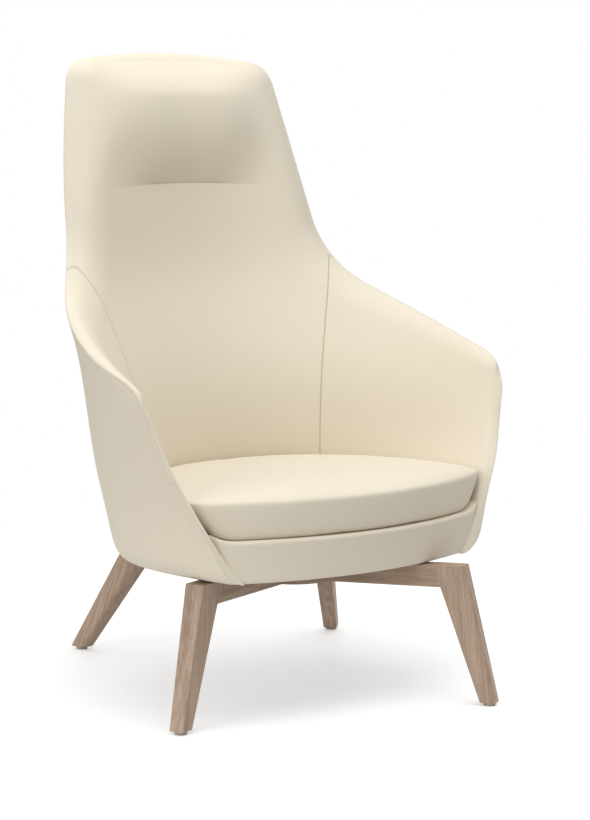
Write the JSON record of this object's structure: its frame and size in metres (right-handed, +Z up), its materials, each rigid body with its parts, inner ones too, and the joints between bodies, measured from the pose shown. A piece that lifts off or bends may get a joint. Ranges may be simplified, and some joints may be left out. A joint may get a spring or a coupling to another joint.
{
  "type": "high back armchair",
  "caption": "High back armchair: padded tub shell with wing arms, soft headrest and loose seat cushion, turning on a base of splayed wooden legs.",
  "frame": {"origin": "on the floor under the middle of the whole chair at rest", "axes": "+Z up, the seat faces -Y at rest, +X is to the right for a viewer in front of the chair"},
  "size_m": [0.848, 0.8879, 1.186],
  "materials": {
    "upholstery": "smooth cream cloth",
    "beech": "bleached, matt lacquer",
    "plywood": "raw",
    "dark_steel": "matt black",
    "bright_steel": "zinc plated",
    "bearing_plastic": "plain",
    "glide_plastic": "plain",
    "dust_cloth": "black non-woven"
  },
  "bodies": {
    "base": {"beam_front_left": "beech", "beam_front_right": "beech", "beam_rear_left": "beech", "beam_rear_right": "beech", "glide_front_left": "glide_plastic", "glide_front_right": "glide_plastic", "glide_rear_left": "glide_plastic", "glide_rear_right": "glide_plastic", "glide_pins": "bright_steel", "hub": "beech", "hub_plate": "dark_steel", "hub_screws": "bright_steel", "leg_dowels": "plywood", "leg_front_left": "beech", "leg_front_right": "beech", "leg_rear_left": "beech", "leg_rear_right": "beech", "pivot_collar": "bright_steel", "pivot_pin": "bright_steel", "thrust_ring": "bearing_plastic"},
    "seat": {"arm_frame_left": "plywood", "arm_frame_right": "plywood", "arm_pad_left": "upholstery", "arm_pad_right": "upholstery", "back_frame": "plywood", "back_pad": "upholstery", "bottom_cover": "dust_cloth", "front_panel": "upholstery", "front_rail": "plywood", "headrest_pad": "upholstery", "seat_cushion": "upholstery", "seat_deck": "plywood", "swivel_block": "plywood", "swivel_bolts": "bright_steel", "swivel_plate": "dark_steel", "tee_nuts": "bright_steel"}
  },
  "joints": [
    {"name": "seat_swivel", "type": "hinge", "parent": "base", "child": "seat", "pos_m": [0, -0.128, 0.2756], "axis": [0, 0, 1], "continuous": true}
  ]
}
